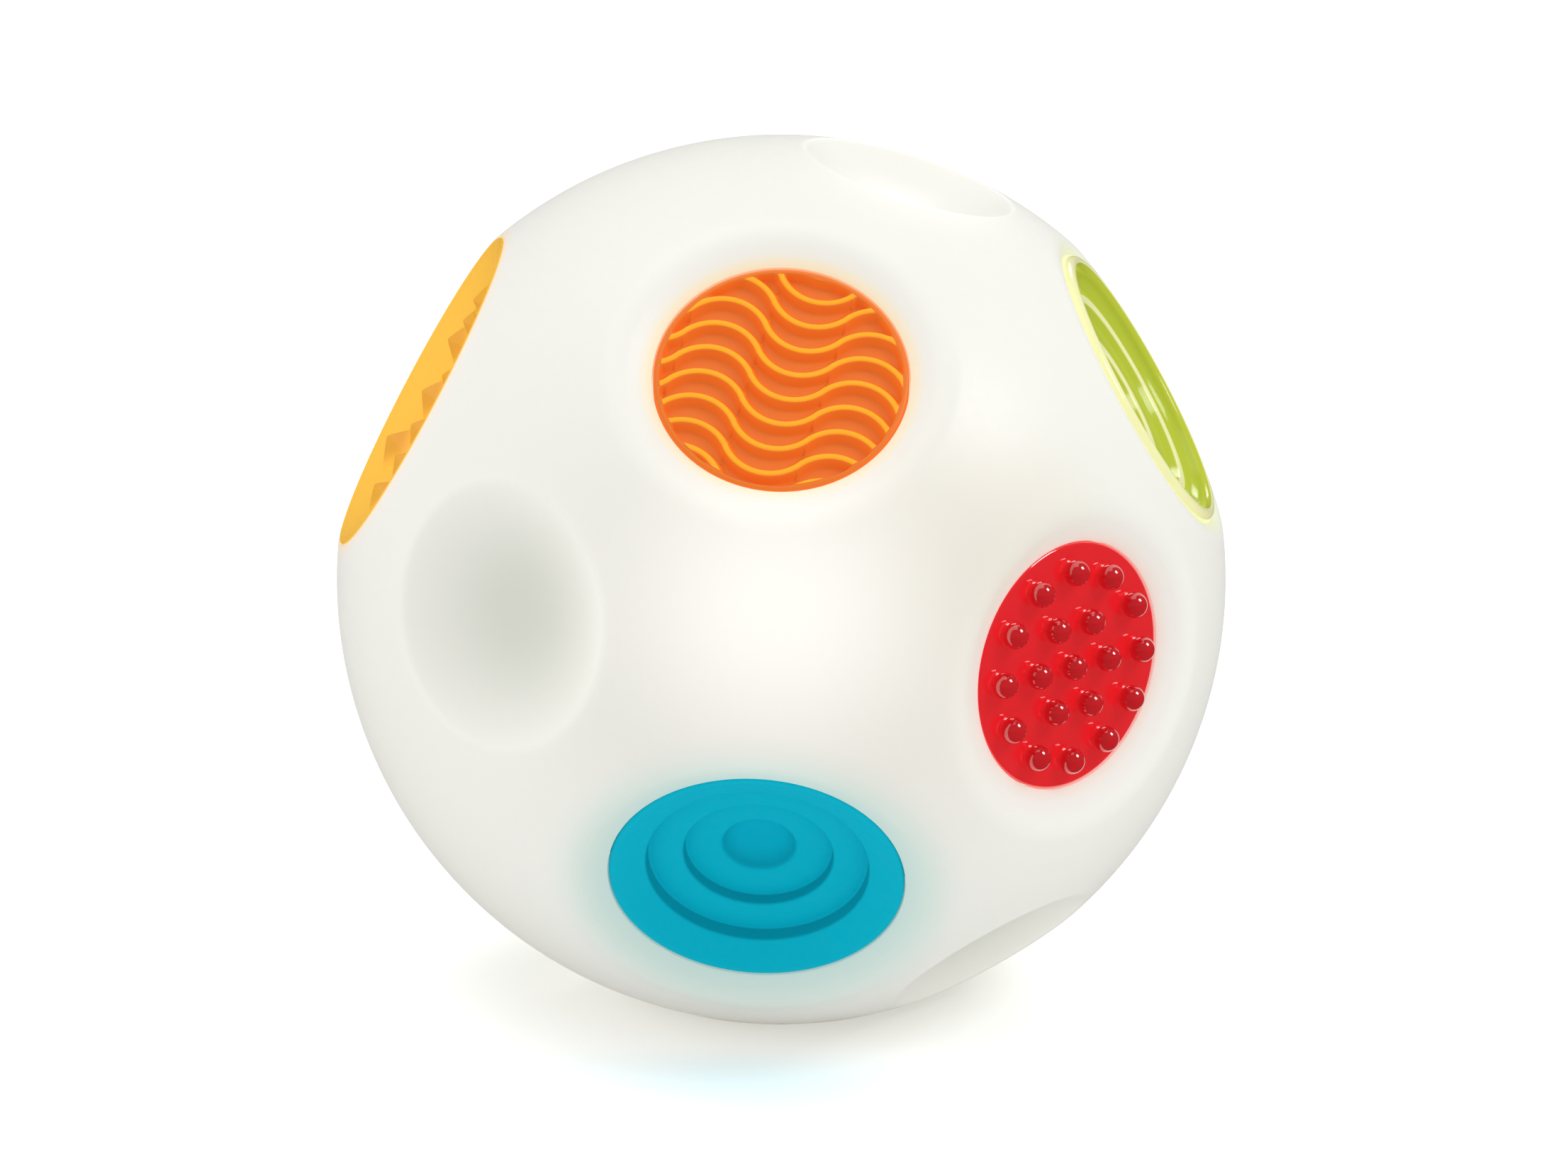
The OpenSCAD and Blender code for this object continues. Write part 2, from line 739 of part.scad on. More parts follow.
module battery_door() {
  color("#f1efe8") difference() {
    rotate_extrude()
      polygon(concat(
        [[0, door_sink]],
        arc([door_r - edge_round, door_sink + edge_round], edge_round, -90, 0, 4),
        [[door_r, door_in_z], [0, door_in_z]]
      ));
    cylinder(r = door_screw_r + screw_fit, h = door_in_z + overrun);
    cylinder(r = door_head_r + head_fit, h = door_sink + head_sink + door_head_t);
  }
}

module door_seal() {
  seal_in = (door_r + tube_in) / 2;
  color("#8f9498") difference() {
    translate([0, 0, door_in_z]) cylinder(r = door_r, h = door_seal_t);
    cylinder(r = seal_in, h = ledge_z + overrun);
  }
}

module door_screw() {
  color("#c9ccd0") translate([0, 0, door_sink + head_sink])
    screw(door_screw_r, door_screw_len, door_head_r, door_head_t);
}

module circuit_board() {
  color("#2f7d4f") difference() {
    translate([0, 0, board_z]) cylinder(r = board_r, h = board_t);
    around(standoffs, standoff_ring) cylinder(r = board_screw_r + screw_fit, h = board_top + overrun);
  }
}

module board_screws() {
  color("#c9ccd0") around(standoffs, standoff_ring)
    translate([0, 0, board_top + board_head_t]) rotate([180, 0, 0])
      screw(board_screw_r, board_t + board_screw_bite, board_head_r, board_head_t);
}

module sound_chip() {
  color("#2b2d30") translate([-chip_w / 2, chip_y - chip_w / 2 - can_r, board_top])
    cube([chip_w, chip_w / 2 + can_r, chip_t]);
}

module leds() {
  color("#fff4d8") around(leds, led_ring, led_first_deg) translate([0, 0, board_top]) {
    cylinder(r = led_r, h = led_h);
    translate([0, 0, led_h]) sphere(r = led_r);
  }
}

module light_dome() {
  skirt_h = crown_h + dome_wall;
  color("#fbfaf4") rotate_extrude()
    polygon(concat(
      [[dome_r - dome_wall, board_top], [dome_r, board_top]],
      arc([0, board_top + skirt_h], dome_r, 0, 90, 16),
      arc([0, board_top + skirt_h], dome_r - dome_wall, 90, 0, 16)
    ));
}

module motion_can() {
  color("#b9bec4") translate([0, can_y, board_top + can_r]) rotate([0, 90, 0]) difference() {
    cylinder(r = can_r, h = can_len, center = true);
    cylinder(r = can_r - can_wall, h = can_len - 2 * can_wall, center = true);
  }
}

module motion_ball() {
  color("#d9b24a") translate([0, can_y, board_top + can_r]) sphere(r = roller_r);
}

module switch_body() {
  slot_w = knob_stem_w + switch_travel + 2 * switch_fit;
  slot_d = knob_stem_d + 2 * switch_fit;
  color("#b9bec4") difference() {
    translate([-switch_len / 2, switch_y - switch_w / 2, foot_t]) cube([switch_len, switch_w, switch_t]);
    translate([-slot_w / 2, switch_y - slot_d / 2, foot_t - overrun])
      cube([slot_w, slot_d, knob_stem_in + switch_fit + overrun]);
  }
}

// Switch knob in its off place
module switch_knob() {
  ribs = 3;
  color("#3a3d42") translate([-switch_travel / 2, switch_y, 0]) {
    translate([-knob_stem_w / 2, -knob_stem_d / 2, knob_sink + knob_t / 2])
      cube([knob_stem_w, knob_stem_d, foot_t + knob_stem_in - knob_sink - knob_t / 2]);
    difference() {
      translate([-knob_w / 2, -knob_d / 2, knob_sink]) cube([knob_w, knob_d, knob_t]);
      for (i = [1:ribs]) translate([(i / (ribs + 1) - 0.5) * knob_w - knob_rib / 2, -knob_d, knob_sink - overrun])
        cube([knob_rib, 2 * knob_d, overrun + knob_rib / 2]);
    }
  }
}

// Speaker pod: a grille like a disc, with a cup behind it that holds the speaker
module speaker_grille() {
  clamp_room = frame_t + clamp_t + insert_fit;
  cup_in = speaker_r + insert_fit;
  cup_end = speaker_front_d - clamp_room - snap_len;
  color("#f1efe8") at(speaker_at) difference() {
    rotate_extrude()
      polygon(concat(
        [[0, disc_d]],
        arc([disc_r - edge_round, disc_d - edge_round], edge_round, 90, 0, 4),
        [[disc_r, speaker_seat_d]],
        neck_outline(pod_neck, speaker_seat_d),
        [[pod_neck, cup_end], [cup_in, cup_end], [cup_in, speaker_front_d],
          [cup_in - pod_ledge, speaker_front_d], [cup_in - pod_ledge, speaker_seat_d], [0, speaker_seat_d]]
      ));
    translate([0, 0, speaker_seat_d - overrun]) {
      cylinder(r = grille_hole_r, h = disc_plate + 2 * overrun);
      for (ring = [1:grille_rings]) around(6 * ring, ring * grille_pitch)
        cylinder(r = grille_hole_r, h = disc_plate + 2 * overrun);
    }
  }
}

module speaker_frame() {
  flange_low = speaker_front_d - frame_t;
  throat = magnet_r * cone_shares[1];
  color("#4b5058") at(speaker_at) rotate_extrude()
    polygon([
      [speaker_r * cone_shares[0] + cone_wall, speaker_front_d], [speaker_r, speaker_front_d],
      [speaker_r, flange_low], [speaker_r * cone_shares[0], flange_low],
      [magnet_r, speaker_back_d], [throat + cone_wall, speaker_back_d],
      [throat + cone_wall, speaker_back_d + basket_wall], [magnet_r - basket_wall, speaker_back_d + basket_wall],
      [speaker_r * cone_shares[0] - basket_wall, flange_low]
    ]);
}

module speaker_cone() {
  outer = speaker_r * cone_shares[0];
  throat = magnet_r * cone_shares[1];
  low = speaker_back_d + 2 * basket_wall;
  edge_low = speaker_front_d - frame_t;
  color("#2c2f33") at(speaker_at) rotate_extrude()
    polygon([
      [0, low], [throat, low], [outer - basket_wall, edge_low], [outer, speaker_front_d],
      [outer - 2 * cone_wall, speaker_front_d], [throat, low + 2 * cone_wall], [0, low + 2 * cone_wall]
    ]);
}

module speaker_magnet() {
  color("#8d9298") at(speaker_at) translate([0, 0, magnet_back_d]) cylinder(r = magnet_r, h = magnet_t);
}

module speaker_clamp() {
  color("#e4e2da") at(speaker_at) translate([0, 0, speaker_front_d - frame_t - clamp_t]) difference() {
    cylinder(r = speaker_r + insert_fit / 2, h = clamp_t);
    translate([0, 0, -overrun]) cylinder(r = speaker_r - clamp_w, h = clamp_t + 2 * overrun);
  }
}

module speaker_lead() {
  start = [0, lead_y0, lead_z];
  out = [0, tube_r + 4 * lead_r, lead_z];
  end_dir = [0, cos(speaker_at[0]), sin(speaker_at[0])];
  arrive = magnet_end - 6 * lead_r * end_dir;
  steps = 10;
  bend = [for (i = [1:steps])
    let (t = i / steps, s = 1 - t)
    s * s * out + 2 * s * t * [0, arrive[1], out[2]] + t * t * arrive];
  color("#c43a3a") sweep(concat([start, (start + out) / 2, out], bend, [magnet_end]), lead_r, 8, [1, 0, 0]);
}

ball_shell();
orange_wave_disc();
red_bump_disc();
blue_step_bowl();
green_ring_dish();
yellow_pyramid_dish();
battery_core();
core_seal();
core_screws();
battery_cells();
battery_contacts();
battery_springs();
battery_door();
door_seal();
door_screw();
circuit_board();
board_screws();
sound_chip();
leds();
light_dome();
motion_can();
motion_ball();
switch_body();
switch_knob();
speaker_grille();
speaker_frame();
speaker_cone();
speaker_magnet();
speaker_clamp();
speaker_lead();
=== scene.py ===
"""Looks of a light-up sensory ball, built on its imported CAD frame.

The milky shell and its five coloured inserts are drawn as fine smooth meshes that stand for the CAD nodes
of the same shape. Everything else shows the CAD nodes themselves with materials on them.
Lengths are written in millimetres and turned into metres by MM when a mesh is made.
"""

import json
import math

import bpy
from mathutils import Matrix, Vector
from mathutils.geometry import delaunay_2d_cdt


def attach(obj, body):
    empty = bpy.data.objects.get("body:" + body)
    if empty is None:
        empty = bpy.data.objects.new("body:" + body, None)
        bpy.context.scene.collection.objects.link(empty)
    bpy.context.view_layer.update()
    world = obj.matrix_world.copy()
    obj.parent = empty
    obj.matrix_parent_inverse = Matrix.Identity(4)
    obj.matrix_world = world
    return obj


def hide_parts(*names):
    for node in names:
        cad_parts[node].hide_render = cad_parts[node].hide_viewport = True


MM = 0.001
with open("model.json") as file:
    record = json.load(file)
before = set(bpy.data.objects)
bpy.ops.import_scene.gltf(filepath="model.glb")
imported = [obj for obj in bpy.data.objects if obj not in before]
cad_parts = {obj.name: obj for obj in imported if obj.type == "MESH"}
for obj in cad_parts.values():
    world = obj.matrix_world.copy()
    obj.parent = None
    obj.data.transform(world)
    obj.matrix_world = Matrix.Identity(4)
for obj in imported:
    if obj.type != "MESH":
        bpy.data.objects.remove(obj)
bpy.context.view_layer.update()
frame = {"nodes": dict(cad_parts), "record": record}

# Sizes shared with the CAD part
BALL_R = 60.0
FIT = 0.15
FOOT_HOLE = 20.6 + FIT
BASE_D = math.sqrt(BALL_R**2 - FOOT_HOLE**2) + 0.3
MOUTH_DEG, MOUTH_ROUND, ROUND_SHARE = 22.0, 5.0, 0.8
DIMPLE_R, DIMPLE_DEPTH, DIMPLE_ROUND = 17.2, 5.5, 1.5
DISC_R, DISC_D, DISC_PLATE, DISC_EDGE = 16.3, BALL_R - 5.8, 2.2, 0.5
BOWL_R, BOWL_D, BOWL_PLATE = 19.1, BALL_R - 6.2, 3.4
DISH_R, DISH_D, DISH_PLATE = 20.0, BALL_R - 4.9, 2.0
FIELD_R = 23.0
FIELD_D = math.sqrt(BALL_R**2 - (FIELD_R + FIT) ** 2) - 0.3

# Latitude and longitude of each piece, with longitude 0 at the front
# A dimple also has its share of the largest dimple's size
ORANGE_AT, RED_AT, BLUE_AT = (43, 0), (-1, 43), (-31, -4)
GREEN_AT, YELLOW_AT, SPEAKER_AT, BASE_AT = (30, 84), (29, -87), (-25, 180), (-90, 0)
DIMPLES_AT = [
    (7, -39, 1), (73, 84, 0.83), (-50, 48, 0.83), (-50, -97, 1), (55, -172, 1), (-22, 108, 1), (20, 140, 1),
    (-8, -133, 1), (18, -178, 1),
]


def place(at):
    """Matrix that puts a shape at a place on the ball, its Z axis pointing out from the ball's centre."""
    lat, lon = at[:2]
    turn = Matrix.Rotation(math.radians(lon), 4, "Z") @ Matrix.Rotation(math.radians(90 - lat), 4, "X")
    return Matrix.Translation((0, 0, BASE_D)) @ turn


def arc(centre, radius, start, end, steps):
    turns = [math.radians(start + (end - start) * i / steps) for i in range(steps + 1)]
    return [(centre[0] + radius * math.cos(t), centre[1] + radius * math.sin(t)) for t in turns]


def rounded(points, steps=6):
    """Outline through points (x, y, radius) with each corner turned into an arc of its radius."""
    out = []
    for i, (x, y, radius) in enumerate(points):
        if radius == 0 or i in (0, len(points) - 1):
            out.append((x, y))
            continue
        here = Vector((x, y))
        a = (Vector(points[i - 1][:2]) - here).normalized()
        b = (Vector(points[i + 1][:2]) - here).normalized()
        half = a.angle(b) / 2
        reach = radius / math.tan(half)
        centre = here + (a + b).normalized() * radius / math.sin(half)
        from_, to = here + a * reach - centre, here + b * reach - centre
        start = math.degrees(math.atan2(from_.y, from_.x))
        swing = math.degrees(math.atan2(from_.x * to.y - from_.y * to.x, from_.dot(to)))
        out += arc(centre, radius, start, start + swing, steps)
    return out


def new_piece(name, verts, faces, matrix, sharp_deg=40, normals=None):
    """Object from vertices in millimetres, with sharp edges or with a normal for each vertex."""
    mesh = bpy.data.meshes.new(name)
    mesh.from_pydata([(matrix @ Vector(v)) * MM for v in verts], [], faces)
    mesh.validate()
    mesh.shade_smooth()
    if normals:
        mesh.normals_split_custom_set_from_vertices(normals)
    else:
        mesh.set_sharp_from_angle(angle=math.radians(sharp_deg))
    obj = bpy.data.objects.new(name, mesh)
    bpy.context.scene.collection.objects.link(obj)
    return obj


def revolve(outline, segments, first=0):
    """Vertices and faces of an outline (r, z) turned about Z, listed from the axis or the inside out."""
    verts, faces, rings = [], [], []
    for r, z in outline:
        start = first + len(verts)
        if r == 0:
            rings.append([start] * segments)
            verts.append((0, 0, z))
        else:
            rings.append([start + k for k in range(segments)])
            for k in range(segments):
                t = 2 * math.pi * k / segments
                verts.append((r * math.cos(t), r * math.sin(t), z))
    for low, high in zip(rings, rings[1:]):
        for k in range(segments):
            n = (k + 1) % segments
            face = [low[k], high[k], high[n], low[n]]
            face = [v for i, v in enumerate(face) if v != face[i - 1]]
            if len(face) > 2:
                faces.append(face)
    return verts, faces


def tag_rise(obj, values):
    """Stores a share per vertex for the material to colour by."""
    obj.data.attributes.new("rise", "FLOAT", "POINT").data.foreach_set("value", values)
    return obj


# Shell

def mouth_outline(r, d):
    """Soft mouth of a pocket, from the ball's surface in to the edge of its insert."""
    a = math.radians(MOUTH_DEG)
    f = min(MOUTH_ROUND, ROUND_SHARE * (BALL_R - math.hypot(r, d)) / (1 - math.cos(a + math.atan2(r, d))))
    along, across = Vector((math.cos(a), math.sin(a))), Vector((-math.sin(a), math.cos(a)))
    start = Vector((r, d)) - f * across
    b = start.dot(along)
    centre = start + (math.sqrt(b * b - start.dot(start) + (BALL_R - f) ** 2) - b) * along
    crest = math.degrees(math.atan2(centre.y, centre.x))
    return arc(centre, f, crest, 90 + MOUTH_DEG, 12) + [(r, d)]


def dimple_outline(share):
    """Grip dimple, from the ball's surface in to its middle."""
    radius, depth = share * DIMPLE_R, share * DIMPLE_DEPTH
    rim_d = math.sqrt(BALL_R**2 - radius**2)
    dish = (radius**2 + depth**2) / (2 * depth)
    dish_d = rim_d - depth + dish
    inner, outer = BALL_R - DIMPLE_ROUND, dish + DIMPLE_ROUND
    cz = (inner**2 - outer**2 + dish_d**2) / (2 * dish_d)
    cx = math.sqrt(inner**2 - cz**2)
    crest = math.degrees(math.atan2(cz, cx))
    low = math.degrees(math.atan2(dish_d - cz, -cx))
    edge = math.degrees(math.atan2(cz - dish_d, cx))
    return arc((cx, cz), DIMPLE_ROUND, crest, low, 10) + arc((0, dish_d), dish, edge, -90, 24)[1:-1] + [
        (0, rim_d - depth)
    ]


def shell_features():
    """Places of all that is cut into the shell, with smooth outlines from the ball's surface inwards."""
    features = []
    for at, r, d, plate in (
        (ORANGE_AT, DISC_R, DISC_D, DISC_PLATE), (RED_AT, DISC_R, DISC_D, DISC_PLATE),
        (SPEAKER_AT, DISC_R, DISC_D, DISC_PLATE), (BLUE_AT, BOWL_R, BOWL_D, BOWL_PLATE),
        (GREEN_AT, DISH_R, DISH_D, DISH_PLATE), (YELLOW_AT, FIELD_R, FIELD_D, DISH_PLATE),
    ):
        r += FIT
        features.append((at, [mouth_outline(r, d), [(r, d), (r, d - plate)]]))
    edge = (FOOT_HOLE, math.sqrt(BALL_R**2 - FOOT_HOLE**2))
    features.append((BASE_AT, [[edge], [edge, (FOOT_HOLE, edge[1] - 3)]]))
    return features + [(at, [dimple_outline(at[2])]) for at in DIMPLES_AT]


def outline_normals(outline, segments):
    """Normals of the vertices that revolve makes of a smooth outline listed inwards."""
    normals = []
    for i, (r, z) in enumerate(outline):
        (r0, z0), (r1, z1) = outline[max(i - 1, 0)], outline[min(i + 1, len(outline) - 1)]
        n = Vector((z1 - z0, r0 - r1)).normalized()
        if abs(math.hypot(r, z) - BALL_R) < 1e-6 and len(outline) != 2:
            n = Vector((r, z)).normalized()
        turns = [2 * math.pi * k / segments for k in range(segments)] if r > 0 else [0]
        normals += [Vector((n.x * math.cos(t), n.x * math.sin(t), n.y)) for t in turns]
    return normals


def flat_map(p):
    """Map of the ball from its base, which turns circles on the ball into circles on a plane."""
    u = Vector(p).normalized()
    return Vector((u.x, u.y)) / (1 + u.z)


def make_shell(segments=160, spacing=0.7):
    """Ball with polar patches in its pockets and dimples, and an even net over the rest."""
    verts, normals, faces, ring_of, edges, rims = [], [], [], {}, [], []
    centre = Matrix.Translation((0, 0, -BASE_D))
    for number, (at, outlines) in enumerate(shell_features()):
        matrix = centre @ place(at)
        turn = matrix.to_3x3()
        for k in range(segments):
            ring_of[len(verts) + k] = number
            edges.append((len(verts) + k, len(verts) + (k + 1) % segments))
        rims.append((turn @ Vector((0, 0, 1)), math.atan2(*outlines[0][0]) + 0.7 * spacing / BALL_R))
        for outline in outlines:
            patch, patch_faces = revolve(outline, segments, len(verts))
            verts += [matrix @ Vector(v) for v in patch]
            normals += [turn @ n for n in outline_normals(outline, segments)]
            faces += [f[::-1] for f in patch_faces]
    count = int(4 * math.pi * BALL_R**2 / (spacing**2 * 0.866))
    golden = math.pi * (3 - math.sqrt(5))
    for i in range(count):
        z = 1 - 2 * (i + 0.5) / count
        r = math.sqrt(1 - z * z)
        u = Vector((r * math.cos(golden * i), r * math.sin(golden * i), z))
        if all(u.angle(axis) > limit for axis, limit in rims):
            ring_of[len(verts)] = -1 - i
            verts.append(u * BALL_R)
            normals.append(u)
    used = sorted(ring_of)
    index = {v: i for i, v in enumerate(used)}
    points = [flat_map(verts[v]) for v in used]
    net = delaunay_2d_cdt(points, [(index[a], index[b]) for a, b in edges], [], 0, 1e-9)
    for face in net[2]:
        tri = [used[net[3][v][0]] for v in face]
        if len({ring_of[v] for v in tri}) == 1:
            continue
        a, b, c = (verts[v] for v in tri)
        faces.append(tri if (b - a).cross(c - a).dot(a) > 0 else tri[::-1])
    obj = new_piece("milky_shell", verts, faces, Matrix.Translation((0, 0, BASE_D)), normals=normals)
    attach(obj, "ball")
    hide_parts("ball_shell")
    return obj


# Inserts

WAVE_TILT, WAVE_SHIFT, WAVE_LEN, WAVE_RISE = -16.0, (0.8, -0.3), 19.4, 4.85
RIDGE_PITCH, RIDGE_H, RIDGE_W, RIDGE_FLOOR = 3.7, 1.4, 1.0, 1.3


def ridge_rise(x, y):
    """Height share of the wave ridges at a point of the orange disc."""
    tilt = math.radians(WAVE_TILT)
    wx = x * math.cos(tilt) + y * math.sin(tilt) - WAVE_SHIFT[0]
    wy = -x * math.sin(tilt) + y * math.cos(tilt) - WAVE_SHIFT[1]
    half, swing = WAVE_LEN / 2, WAVE_RISE / 2
    bend = (half * half / 4 + swing * swing) / (2 * swing)
    i = round(wx / half)
    side = -1 if i % 2 == 0 else 1
    dx = wx - i * half
    line = side * (math.sqrt(bend * bend - dx * dx) - bend + swing)
    row = round((wy - line) / RIDGE_PITCH)
    away = abs(math.hypot(dx, wy - row * RIDGE_PITCH - side * (swing - bend)) - bend)
    flat, foot = 0.2 * RIDGE_W, 1.1 * RIDGE_W
    t = min(max((foot - away) / (foot - flat), 0), 1)
    return t * t * (3 - 2 * t)


def make_orange():
    segments, step = 420, 0.16
    fine_rows, fine_step = 12, 0.06
    rim = DISC_R - DISC_EDGE
    outline = [(step * i, DISC_D) for i in range(int((rim - 0.8) / step) + 1)]
    outline += [(rim - fine_step * i, DISC_D) for i in range(fine_rows, 0, -1)]
    outline += arc((rim, DISC_D - DISC_EDGE), DISC_EDGE, 90, 0, 6)
    outline += [(DISC_R, DISC_D - DISC_PLATE)]
    verts, faces = revolve(outline, segments)
    raised, rises = [], []
    for x, y, z in verts:
        inside = rim - math.hypot(x, y)
        bowl = min(max((inside - 0.1) / 0.55, 0), 1)
        floor = z - RIDGE_FLOOR * bowl * bowl * (3 - 2 * bowl)
        rise = ridge_rise(x, y) * min(max((inside - 0.05) / 0.3, 0), 1)
        raised.append((x, y, floor + max(DISC_D + RIDGE_H - RIDGE_FLOOR - floor, 0) * rise))
        rises.append(rise)
    return tag_rise(new_piece("orange_disc", raised, faces, place(ORANGE_AT), 60), rises)


BUMP_R, BUMP_H, BUMP_PITCH = 1.75, 2.8, 6.3
BUMP_NECK, BUMP_FOOT = 0.78 * BUMP_R, 0.35


def make_red():
    rim = DISC_R - DISC_EDGE
    plate = [(0, DISC_D), (rim, DISC_D)] + arc((rim, DISC_D - DISC_EDGE), DISC_EDGE, 75, 0, 4)
    plate += [(DISC_R, DISC_D - DISC_PLATE)]
    verts, faces = revolve(plate, 160)
    tip = DISC_D + BUMP_H - BUMP_R
    foot = arc((BUMP_NECK + BUMP_FOOT, DISC_D + BUMP_FOOT), BUMP_FOOT, 270, 180, 5)
    bump = foot + arc((0, tip), BUMP_R, -38, 90, 14)
    bump[-1] = (0, tip + BUMP_R)
    spots = [(0, 0)]
    for count, ring in ((6, BUMP_PITCH), (12, 2 * BUMP_PITCH)):
        turns = [2 * math.pi * k / count for k in range(count)]
        spots += [(ring * math.cos(t), ring * math.sin(t)) for t in turns]
    rises = [0.0] * len(verts)
    for x, y in spots:
        more, more_faces = revolve(bump, 64, len(verts))
        rises += [min((z - DISC_D) / BUMP_H, 1) for _, _, z in more]
        verts += [(x + a, y + b, z) for a, b, z in more]
        faces += [f[::-1] for f in more_faces]
    return tag_rise(new_piece("red_disc", verts, faces, place(RED_AT), 60), rises)


BOWL_SHARES = (0.7475, 0.5, 0.255)
BOWL_DROPS = (2.0, 3.9, 5.7)
CUP_DEPTH = 3.2


def make_blue():
    """Bowl with rounded steps; its rise is 1 on the treads and falls to 0 on the risers."""
    segments = 200
    r1, r2, r3 = (BOWL_R * share for share in BOWL_SHARES)
    z1, z2, z3 = (BOWL_D - drop for drop in BOWL_DROPS)
    cup_r = (r3 * r3 + CUP_DEPTH * CUP_DEPTH) / (2 * CUP_DEPTH)
    cup_edge = math.degrees(math.asin(r3 / cup_r)) - 90
    low = arc((0, z3 - CUP_DEPTH + cup_r), cup_r, -90, cup_edge - 4, 16)
    low[0] = (0, z3 - CUP_DEPTH)
    steps = [
        (*low[-1], 0), (r3 + 0.2, z3, 0.7), (r2, z3, 0.35), (r2 + 0.15, z2, 0.6), (r1, z2, 0.35),
        (r1 + 0.15, z1, 0.6), (BOWL_R - 0.9, BOWL_D - 0.1, 0.6), (BOWL_R, BOWL_D, 0.4),
        (BOWL_R, BOWL_D - BOWL_PLATE, 0),
    ]
    outline = low[:-1] + rounded(steps, 7)
    verts, faces = revolve(outline, segments)
    rises = []
    for i, (r, _) in enumerate(outline):
        before, after = Vector(outline[max(i - 1, 0)]), Vector(outline[min(i + 1, len(outline) - 1)])
        rises += [abs((after - before).normalized().x)] * (1 if r == 0 else segments)
    return tag_rise(new_piece("blue_bowl", verts, faces, place(BLUE_AT), 60), rises)


RING_FLOOR, RING_FALL, RING_FOOT = 1.2, 4.0, 16.6
RING_SHARES = (0.22, 0.54, 0.86)
RING_HALF, CREST_HALF, CREST_LOW, CREST_HIGH = 1.25, 0.45, 0.72, 0.86
RIM_ROUND, PALE_RIM = 1.1, 1.6


def make_green():
    """Dish with ring ridges; its rise is 1 on the crests and on the rim."""
    slope = RING_FALL / RING_FOOT
    middle = DISH_D - RING_FLOOR - RING_FALL
    outline = [(0, middle, 0)]
    for share in RING_SHARES:
        r, z = RING_FOOT * share, middle + RING_FALL * share
        outline += [
            (r - RING_HALF, z - RING_HALF * slope, 0.5), (r - CREST_HALF, z + CREST_LOW, 0.4),
            (r + CREST_HALF, z + CREST_HIGH, 0.4), (r + RING_HALF, z + RING_HALF * slope, 0.5),
        ]
    outline += [(RING_FOOT, DISH_D - RING_FLOOR, 0.7), (DISH_R - 2 * RIM_ROUND, DISH_D - 0.2, 0)]
    rim = arc((DISH_R - RIM_ROUND, DISH_D), RIM_ROUND, 170, 0, 14)
    outline = rounded(outline, 6) + rim + [(DISH_R, DISH_D - DISH_PLATE)]
    verts, faces = revolve(outline, 200)
    rises = []
    for x, y, z in verts:
        r = math.hypot(x, y)
        crest = (z - middle - slope * r) / 0.8
        rises.append(min(max(crest, 0), 1) if r < RING_FOOT else float(r > DISH_R - PALE_RIM))
    return tag_rise(new_piece("green_dish", verts, faces, place(GREEN_AT), 70), rises)


def pyramid(half, height, first):
    """Four-sided pyramid with its corners along X and Y and soft edges, as rings that shrink to the tip."""
    verts, faces, sides = [], [], 40
    shares = [1.0, 0.85, 0.7, 0.55, 0.4, 0.28, 0.18, 0.1, 0.04]
    for share in shares:
        power = 1.04 if share > 0.5 else 1.04 + 0.5 * (0.5 - share)
        for k in range(sides):
            t = 2 * math.pi * k / sides
            c, s = math.cos(t), math.sin(t)
            reach = half * share / (abs(c) ** power + abs(s) ** power) ** (1 / power)
            soft = height * (1 - math.sqrt(share * share + 0.0025))
            verts.append((reach * c, reach * s, soft))
    tip = first + len(verts)
    verts.append((0, 0, height * 0.951))
    for ring in range(len(shares) - 1):
        a, b = first + ring * sides, first + (ring + 1) * sides
        faces += [[a + k, a + (k + 1) % sides, b + (k + 1) % sides, b + k] for k in range(sides)]
    top = first + (len(shares) - 1) * sides
    faces += [[top + k, top + (k + 1) % sides, tip] for k in range(sides)]
    return verts, faces


PYRAMID_DEPTH, PYRAMID_SIDE, PYRAMID_H, PYRAMID_GAP, PYRAMID_REACH = 5.8, 5.8, 3.0, 0.3, 17.0
PYRAMID_SHIFT = Vector((4.6, -2.55))


def make_yellow():
    """Hollow dish with pyramids that lean along its floor; its rise is 1 at their tips."""
    mouth = FIELD_R - 0.7
    curve = (mouth**2 + PYRAMID_DEPTH**2) / (2 * PYRAMID_DEPTH)
    centre = FIELD_D - PYRAMID_DEPTH + curve
    floor = arc((0, centre), curve, -90, math.degrees(math.asin(mouth / curve)) - 90, 24)
    floor[0] = (0, centre - curve)
    edge, edge_round = FIELD_R + 0.1, 0.2
    rim = arc((edge - edge_round, FIELD_D), edge_round, 150, 0, 6)
    verts, faces = revolve(floor + rim + [(edge, FIELD_D - DISH_PLATE)], 200)
    rises = [0.0] * len(verts)
    step, half = (PYRAMID_SIDE + PYRAMID_GAP) / math.sqrt(2), PYRAMID_SIDE / math.sqrt(2)
    for i in range(-6, 7):
        for j in range(-6, 7):
            spot = Vector((i, j)) * step + PYRAMID_SHIFT
            if (i + j) % 2 or spot.length > PYRAMID_REACH:
                continue
            turn = Matrix.Rotation(math.atan2(spot.y, spot.x), 4, "Z")
            lean = turn @ Matrix.Rotation(-spot.length / curve, 4, "Y") @ turn.inverted()
            matrix = Matrix.Translation((0, 0, centre)) @ lean @ Matrix.Translation((0, 0, -curve))
            more, more_faces = pyramid(half, PYRAMID_H, len(verts))
            rises += [z / PYRAMID_H for _, _, z in more]
            verts += [matrix @ Vector(v) for v in more]
            faces += more_faces
    return tag_rise(new_piece("yellow_dish", verts, faces, place(YELLOW_AT), 50), rises)


